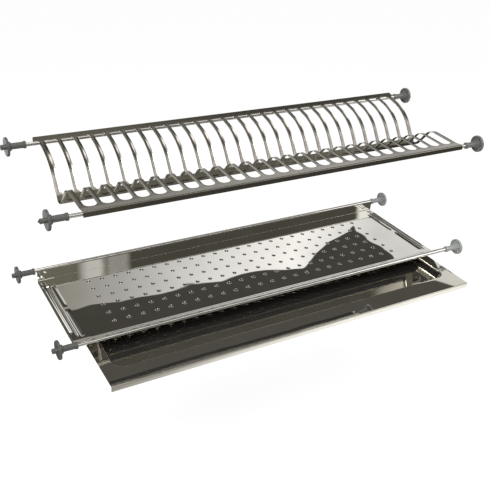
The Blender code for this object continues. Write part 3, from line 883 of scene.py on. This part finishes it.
def margin_height(inset, along, length):
    """Height of the side margin over the floor: two ridges, and a groove with a bead behind it."""
    back = length - RIDGE_BACK_INSET
    bead_end = back - MARGIN_WIDTH / 2
    ridges = bead(inset, along, OUTER_RIDGE_INSET, OUTER_RIDGE_START, back, RIDGE_HALF_WIDTH)
    ridges += bead(inset, along, INNER_RIDGE_INSET, INNER_RIDGE_START, back, RIDGE_HALF_WIDTH)
    groove = bead(inset, along, GROOVE_INSET, GROOVE_START, GROOVE_END, GROOVE_HALF_WIDTH)
    rear_bead = bead(inset, along, GROOVE_INSET, REAR_BEAD_START, bead_end, GROOVE_HALF_WIDTH)
    return RIDGE_HEIGHT * ridges - GROOVE_DEPTH * groove + REAR_BEAD_HEIGHT * rear_bead


def margin_rows(shape, side, front_edge, back_edge, floor):
    """A fine grid over one side margin, and the side wall and runner that are folded down from it."""
    radius = SIDE_BEND_RADIUS
    length = back_edge - front_edge
    row_count = round(length / MARGIN_ROW_STEP)
    column_count = round((MARGIN_WIDTH - radius) / MARGIN_STEP)
    low = floor - RUNNER_DROP
    bend = arc((radius, floor - radius), radius, math.pi, math.pi / 2, BEND_STEPS)
    foot = arc((radius, low + radius), radius, math.pi, 3 * math.pi / 2, BEND_STEPS)
    folded = [Vector((SHELF_HALF_WIDTH - RUNNER_EDGE, low))] + foot[::-1] + bend[:-1]
    rows = []
    for row in range(row_count + 1):
        along = length * row / row_count
        line = [(point.x, point.y) for point in folded]
        for column in range(column_count + 1):
            inset = radius + (MARGIN_WIDTH - radius) * column / column_count
            line.append((inset, floor + margin_height(inset, along, length)))
        spots = [(side * (SHELF_HALF_WIDTH - inset), front_edge + along, level) for inset, level in line]
        rows.append([shape.verts.new(spot) for spot in spots])
    for lower, upper in zip(rows, rows[1:]):
        for column in range(len(lower) - 1):
            shape.faces.new((lower[column], lower[column + 1], upper[column + 1], upper[column]))
    return rows, len(folded)


def hole_cell(shape, spot, half_wide, half_deep, floor):
    """One drain hole pressed down like a funnel, in a rectangle of flat sheet that its neighbours share."""
    signs = ((-1, -1), (1, -1), (1, 1), (-1, 1))
    corners = [Vector((across * half_wide, along * half_deep)) for across, along in signs]
    outline = []
    for start, end in zip(corners, corners[1:] + corners[:1]):
        outline += [start.lerp(end, step / HOLE_SIDE_PARTS) for step in range(HOLE_SIDE_PARTS)]
    count = len(outline)
    rings = [[(point.x, point.y, floor) for point in outline]]
    for radius, sink in ((HOLE_RADIUS + HOLE_MARGIN, 0.0), (HOLE_RADIUS, 0.0), (HOLE_FOOT_RADIUS, HOLE_SINK)):
        ring = []
        for index in range(count):
            angle = HOLE_FIRST_ANGLE + math.tau * index / count
            ring.append((radius * math.cos(angle), radius * math.sin(angle), floor - sink))
        rings.append(ring)
    placed = [[shape.verts.new((x + spot.x, y + spot.y, z)) for x, y, z in ring] for ring in rings]
    for outer, inner in zip(placed, placed[1:]):
        for index in range(count):
            after = (index + 1) % count
            shape.faces.new((outer[index], outer[after], inner[after], inner[index]))
    return placed[0]


def shelf_shape():
    """Hems, wall, perforated floor with beaded margins, ramp, and the runners below the sides."""
    down, up = shelf_runs()
    back_edge = down[-1].x
    front_edge = up[0].x
    floor = -SHELF_FLOOR_DROP
    shape = bmesh.new()
    margins = {side: margin_rows(shape, side, front_edge, back_edge, floor) for side in (-1, 1)}

    field_back = SHELF_SPAN - SEAT_RADIUS - BACK_ROW_INSET + ROW_PITCH / 2
    field_front = field_back - HOLE_ROWS * ROW_PITCH
    field_half = HOLE_COLUMNS * COLUMN_PITCH / 2
    cells = {}
    for column in range(HOLE_COLUMNS):
        for row in range(HOLE_ROWS):
            spot = Vector(((column + 0.5) * COLUMN_PITCH - field_half, field_front + (row + 0.5) * ROW_PITCH))
            cells[column, row] = hole_cell(shape, spot, COLUMN_PITCH / 2, ROW_PITCH / 2, floor)

    def field_edge(places, corner, backwards):
        """The points along one edge of the field of holes; corner says which of a cell's sides that is."""
        points = []
        for place in places:
            ring = cells[place] + cells[place][:1]
            side = ring[corner * HOLE_SIDE_PARTS:(corner + 1) * HOLE_SIDE_PARTS + 1]
            side = side[::-1] if backwards else side
            points += side[:-1]
        return points + side[-1:]

    last_column = HOLE_COLUMNS - 1
    last_row = HOLE_ROWS - 1
    front_side = field_edge([(column, 0) for column in range(HOLE_COLUMNS)], 0, False)
    right_side = field_edge([(last_column, row) for row in range(HOLE_ROWS)], 1, False)
    back_side = field_edge([(column, last_row) for column in range(HOLE_COLUMNS)], 2, True)
    left_side = field_edge([(0, row) for row in range(HOLE_ROWS)], 3, True)
    inner_left = [row[-1] for row in margins[-1][0]]
    inner_right = [row[-1] for row in margins[1][0]]
    shape.faces.new(inner_left[::-1] + left_side)
    shape.faces.new(inner_right[::-1] + right_side)
    shape.faces.new([inner_left[0]] + front_side + [inner_right[0]])
    shape.faces.new([inner_left[-1]] + back_side + [inner_right[-1]])

    def ends(points):
        """For each point of the profile, one point at either end of the sheet."""
        wide = (-SHELF_HALF_WIDTH, SHELF_HALF_WIDTH)
        return [[shape.verts.new((end, *point)) for end in wide] for point in points]

    for edge_row, run in ((-1, down[-2::-1]), (0, up[1:])):
        edge = []
        for side in (-1, 1):
            rows, folded = margins[side]
            part = rows[edge_row][folded - 1:]
            edge += part if side < 0 else part[::-1]
        for pair in ends(run):
            shape.faces.new(edge + pair[::-1])
            edge = pair
    bmesh.ops.rotate(shape, verts=shape.verts, matrix=Matrix.Rotation(SHELF_TILT, 3, "X"))
    return shape


# Drip tray, in the shelf's frame

def rounded_ring(half_width, front, back, radius, level):
    """Points round a rectangle with rounded corners, all at one level."""
    points = []
    corners = (
        (half_width - radius, back - radius, 0.0),
        (radius - half_width, back - radius, math.pi / 2),
        (radius - half_width, front + radius, math.pi),
        (half_width - radius, front + radius, -math.pi / 2),
    )
    for across, along, start in corners:
        for point in arc((across, along), radius, start, start + math.pi / 2, BASIN_CORNER_STEPS):
            points.append((point.x, point.y, level))
    return points


def basin_section():
    """The basin's wall in section: inset and drop, from the rim's bend to the foot's bend."""
    flat = Vector((-BASIN_RIM_FLAT, 0.0))
    rim = Vector((0.0, 0.0))
    foot = Vector((BASIN_DRAFT, -BASIN_DEPTH))
    inside = Vector((BASIN_CORNER, -BASIN_DEPTH))
    section = [flat] + fillet(flat, rim, foot, BASIN_RIM_ROUND, BEND_STEPS)
    section += fillet(rim, foot, inside, BASIN_FOOT_ROUND, BEND_STEPS)
    return section + [section[-1] + Vector((BASIN_FOOT_ROUND, 0.0))]


def tray_shape():
    """Flat flanges round a drawn basin, with the front edge turned down as a lip."""
    front = -TRAY_CLOSED_REACH - TRAY_PULLED_OUT
    back = front + TRAY_LENGTH
    half = TRAY_HALF_WIDTH
    level = FLANGE_LEVEL
    shape = bmesh.new()
    rings = []
    for inset, drop in basin_section():
        points = rounded_ring(
            half - SIDE_FLANGE - inset,
            front + FRONT_FLANGE + inset,
            back - BACK_FLANGE - inset,
            BASIN_CORNER - inset,
            level + drop,
        )
        rings.append([shape.verts.new(point) for point in points])
    for upper, lower in zip(rings, rings[1:]):
        for index in range(len(upper)):
            after = (index + 1) % len(upper)
            shape.faces.new((upper[index], upper[after], lower[after], lower[index]))
    shape.faces.new(rings[-1])

    bend_centre = (front + LIP_BEND_RADIUS, level - LIP_BEND_RADIUS)
    lip = arc(bend_centre, LIP_BEND_RADIUS, math.pi / 2, math.pi, BEND_STEPS)
    lip.append(Vector((front, level - TRAY_LIP)))
    outline = ((half, back), (-half, back), (-half, lip[0].x), (half, lip[0].x))
    corners = [shape.verts.new((across, along, level)) for across, along in outline]
    steps = BASIN_CORNER_STEPS + 1
    rim = rings[0]
    for corner in range(len(corners)):
        start = corner * steps
        round_stretch = rim[start:start + steps]
        for first, second in zip(round_stretch, round_stretch[1:]):
            shape.faces.new((corners[corner], second, first))
        following = (corner + 1) % len(corners)
        next_start = rim[(start + steps) % len(rim)]
        shape.faces.new((corners[corner], corners[following], next_start, round_stretch[-1]))
    edge = [corners[2], corners[3]]
    for point in lip[1:]:
        pair = [shape.verts.new((across, *point)) for across in (-half, half)]
        shape.faces.new((edge[0], edge[1], pair[1], pair[0]))
        edge = pair
    bmesh.ops.rotate(shape, verts=shape.verts, matrix=Matrix.Rotation(SHELF_TILT, 3, "X"))
    return shape


# The dressed drainer

def dress():
    """Make the materials, then every piece in its place."""
    rack_steel = steel("rack_sheet", RACK_TONES, RACK_ROUGHNESS, RACK_WAVE, RACK_VALLEY)
    shelf_steel = steel("shelf_sheet", SHELF_TONES, SHELF_ROUGHNESS, MIRROR_WAVE, HOLE_INSIDES)
    tray_steel = steel("tray_sheet", TRAY_TONES, TRAY_ROUGHNESS, MIRROR_WAVE, metal=TRAY_METAL)
    plating = chrome("rod_plating", PLATING_TONES, PLATING_ROUGHNESS)
    dark = moulded("dark_moulding", DARK_TONES)
    smoke = moulded("smoke_moulding", SMOKE_TONES)
    pale = moulded("pale_moulding", PALE_TONES)

    rack, shelf, tray = rack_shape(), shelf_shape(), tray_shape()
    add_piece("pressed_rack", rack, rack_steel, "plate_rack", "plate_rack", SHEET, EDGE_ROUND)
    add_piece("pressed_shelf", shelf, shelf_steel, "glass_shelf", "glass_shelf", SHEET)
    add_piece("drawn_tray", tray, tray_steel, "drip_tray", "drip_tray", SHEET)
    for key, (along, height) in ROD_PLACES.items():
        shape = rod_shape()
        bmesh.ops.translate(shape, verts=shape.verts, vec=(0.0, along, height))
        add_piece("plated_rod_" + key, shape, plating, "rods", "rod_" + key)
        for side, turn, across in (("left", 0.0, -DISC_PLACE), ("right", math.pi, DISC_PLACE)):
            shape = fitting_shape((key, side) == POINTED_PIN)
            bmesh.ops.rotate(shape, verts=shape.verts, matrix=Matrix.Rotation(turn, 3, "Z"))
            bmesh.ops.translate(shape, verts=shape.verts, vec=(across, along, height))
            plastic, slot = dark, "dark_plastic"
            if (key, side) in PALE_FITTINGS:
                plastic, slot = pale, "pale_plastic"
            elif side == "right":
                plastic = smoke
            name, node = "moulded_end_" + key + "_" + side, "fitting_" + key + "_" + side
            add_piece(name, shape, plastic, "rods", node, 0.0, EDGE_ROUND)


# Camera and studio

def set_camera():
    flat = math.cos(CAMERA_ELEVATION)
    down_slope = -math.sin(CAMERA_ELEVATION)
    ahead = Vector((math.sin(CAMERA_AZIMUTH) * flat, math.cos(CAMERA_AZIMUTH) * flat, down_slope))
    right = ahead.cross(Vector((0.0, 0.0, 1.0))).normalized()
    down = ahead.cross(right)
    turned_right = right * math.cos(CAMERA_ROLL) + down * math.sin(CAMERA_ROLL)
    turned_down = down * math.cos(CAMERA_ROLL) - right * math.sin(CAMERA_ROLL)
    data = bpy.data.cameras.new("photo_camera")
    data.sensor_width = SENSOR
    data.lens = SENSOR * FOCAL_PIXELS / PHOTO_WIDTH
    camera = bpy.data.objects.new("photo_camera", data)
    bpy.context.scene.collection.objects.link(camera)
    axes = Matrix((turned_right, -turned_down, -ahead)).transposed()
    camera.matrix_world = Matrix.Translation(CAMERA_PLACE) @ axes.to_4x4()
    bpy.context.scene.camera = camera


def rear_light(net, azimuth, level):
    """What the metal mirrors from behind: a pale backdrop with an uneven upper edge, a dim room over it."""
    spread = (azimuth - BACKDROP_START) / BACKDROP_SPAN
    stops = []
    for place, edge in BACKDROP_EDGE:
        stops.append(((place - BACKDROP_START) / BACKDROP_SPAN, edge / RIGHT_ANGLE))
    edge = net.ramp(stops, spread) * RIGHT_ANGLE
    under = net.smooth(level - edge, BACKDROP_EDGE_BLUR, -BACKDROP_EDGE_BLUR)
    backdrop = net.ramp(BACKDROP_GLOW, spread) * net.smooth(level, *GLOW_LEVELS)
    backdrop = backdrop + BACKDROP_LOW_GLOW * net.smooth(level, *GLOW_LEVELS[::-1])
    backdrop = backdrop + BACKDROP_FOOT_GLOW * net.smooth(level, *FOOT_LEVELS)
    backdrop = backdrop * net.smooth(level, *GROUND_LEVELS) + BACKDROP_SHADE
    ceiling = CEILING_LIGHT * net.smooth(level, *CEILING_LEVELS) * net.smooth(azimuth, *CEILING_AZIMUTHS)
    return under * backdrop + (1 - under) * (ROOM_SHADE + ceiling)


def front_light(net, azimuth, level):
    """What it mirrors from the photographer's side: a window, a wall, a lit table and a strip of lamps."""
    light = FRONT_SHADE + net.smooth(azimuth, *NEAR_SIDE_AZIMUTHS) * NEAR_SIDE_LIGHT
    for pane_light, pane_azimuth, fade in WINDOW_PANES:
        pane = net.near(azimuth, pane_azimuth, *fade) * net.band(level, *WINDOW_LEVELS)
        light = light + pane_light * pane
    light = light + WALL_LIGHT * net.band(azimuth, *WALL_AZIMUTHS) * net.band(level, *WALL_LEVELS)
    table = net.smooth(azimuth, *TABLE_AZIMUTHS) * TABLE_LIGHT + TABLE_SHADE
    below_edge = net.smooth(level - (TABLE_CORNER - azimuth) * TABLE_SLOPE, *TABLE_LEVELS)
    light = light + table * below_edge * net.smooth(azimuth, *TABLE_END)
    far_side = FAR_SIDE_SHADE + FAR_SIDE_LIGHT * net.smooth(level, *FAR_SIDE_LEVELS)
    light = light + net.smooth(azimuth, *FAR_SIDE_AZIMUTHS) * far_side
    return light + STRIP_LIGHT * net.band(level, *STRIP_LEVELS)


def build_world():
    """White to the camera and soft grey to plain pieces; only the metal sees the studio's lights."""
    world = bpy.data.worlds.new("studio")
    bpy.context.scene.world = world
    net = Net(world)
    parts = net.node("ShaderNodeSeparateXYZ", None, {0: net.coordinate("Generated")})
    azimuth = net.worked("ARCTAN2", parts.wire(0), parts.wire(1)) * math.degrees(1.0)
    height = net.worked("MAXIMUM", net.worked("MINIMUM", parts.wire(2), 1.0), -1.0)
    level = net.worked("ARCSINE", height) * math.degrees(1.0)
    behind = net.near(azimuth, BACK_MIDDLE, *BACK_FADE)
    light = behind * rear_light(net, azimuth, level) + (1 - behind) * front_light(net, azimuth, level)
    light = light + OVERHEAD_LIGHT * net.smooth(level, *OVERHEAD_LEVELS)
    tint = net.blend(net.smooth(light, *TINT_LIGHTS), WARM_TINT, CLEAR_TINT)
    mirrored = net.node("ShaderNodeVectorMath", {"operation": "SCALE"}, {0: tint, "Scale": light}).wire(0)

    rays = net.node("ShaderNodeLightPath")
    seen = rays.wire("Is Camera Ray")
    plain = net.blend(seen, SOFT_GREY, WHITE)
    colour = net.blend(rays.wire("Is Glossy Ray") * (1 - seen), plain, mirrored)
    surroundings = net.node("ShaderNodeBackground", None, {"Color": colour, "Strength": 1.0})
    net.node("ShaderNodeOutputWorld", None, {"Surface": surroundings.wire(0)})


def build_floor():
    shape = bmesh.new()
    corners = ((-1, -1), (1, -1), (1, 1), (-1, 1))
    shape.faces.new([shape.verts.new((x * FLOOR_REACH, y * FLOOR_REACH, FLOOR_LEVEL)) for x, y in corners])
    mesh = bpy.data.meshes.new("studio_floor")
    shape.to_mesh(mesh)
    shape.free()
    floor = bpy.data.objects.new("studio_floor", mesh)
    bpy.context.scene.collection.objects.link(floor)
    material = bpy.data.materials.new("pale_floor")
    net = Net(material)
    rays = net.node("ShaderNodeLightPath")
    strength = rays.wire("Is Camera Ray") * FLOOR_LIFT
    matt = net.node("ShaderNodeBsdfDiffuse", None, {"Color": FLOOR_GREY})
    lift = net.node("ShaderNodeEmission", None, {"Color": WHITE, "Strength": strength})
    net.show(net.node("ShaderNodeAddShader", None, {0: matt.wire(0), 1: lift.wire(0)}))
    mesh.materials.append(material)
    floor.visible_glossy = False


def add_lamp():
    data = bpy.data.lights.new("soft_lamp", "AREA")
    data.shape = "SQUARE"
    data.size = LAMP_SIZE
    data.energy = LAMP_POWER
    lamp = bpy.data.objects.new("soft_lamp", data)
    bpy.context.scene.collection.objects.link(lamp)
    lamp.location = LAMP_PLACE
    lamp.rotation_euler = (-Vector(LAMP_PLACE)).to_track_quat("-Z", "Y").to_euler()


bpy.context.scene.view_settings.view_transform = "Standard"
dress()
set_camera()
build_world()
build_floor()
add_lamp()
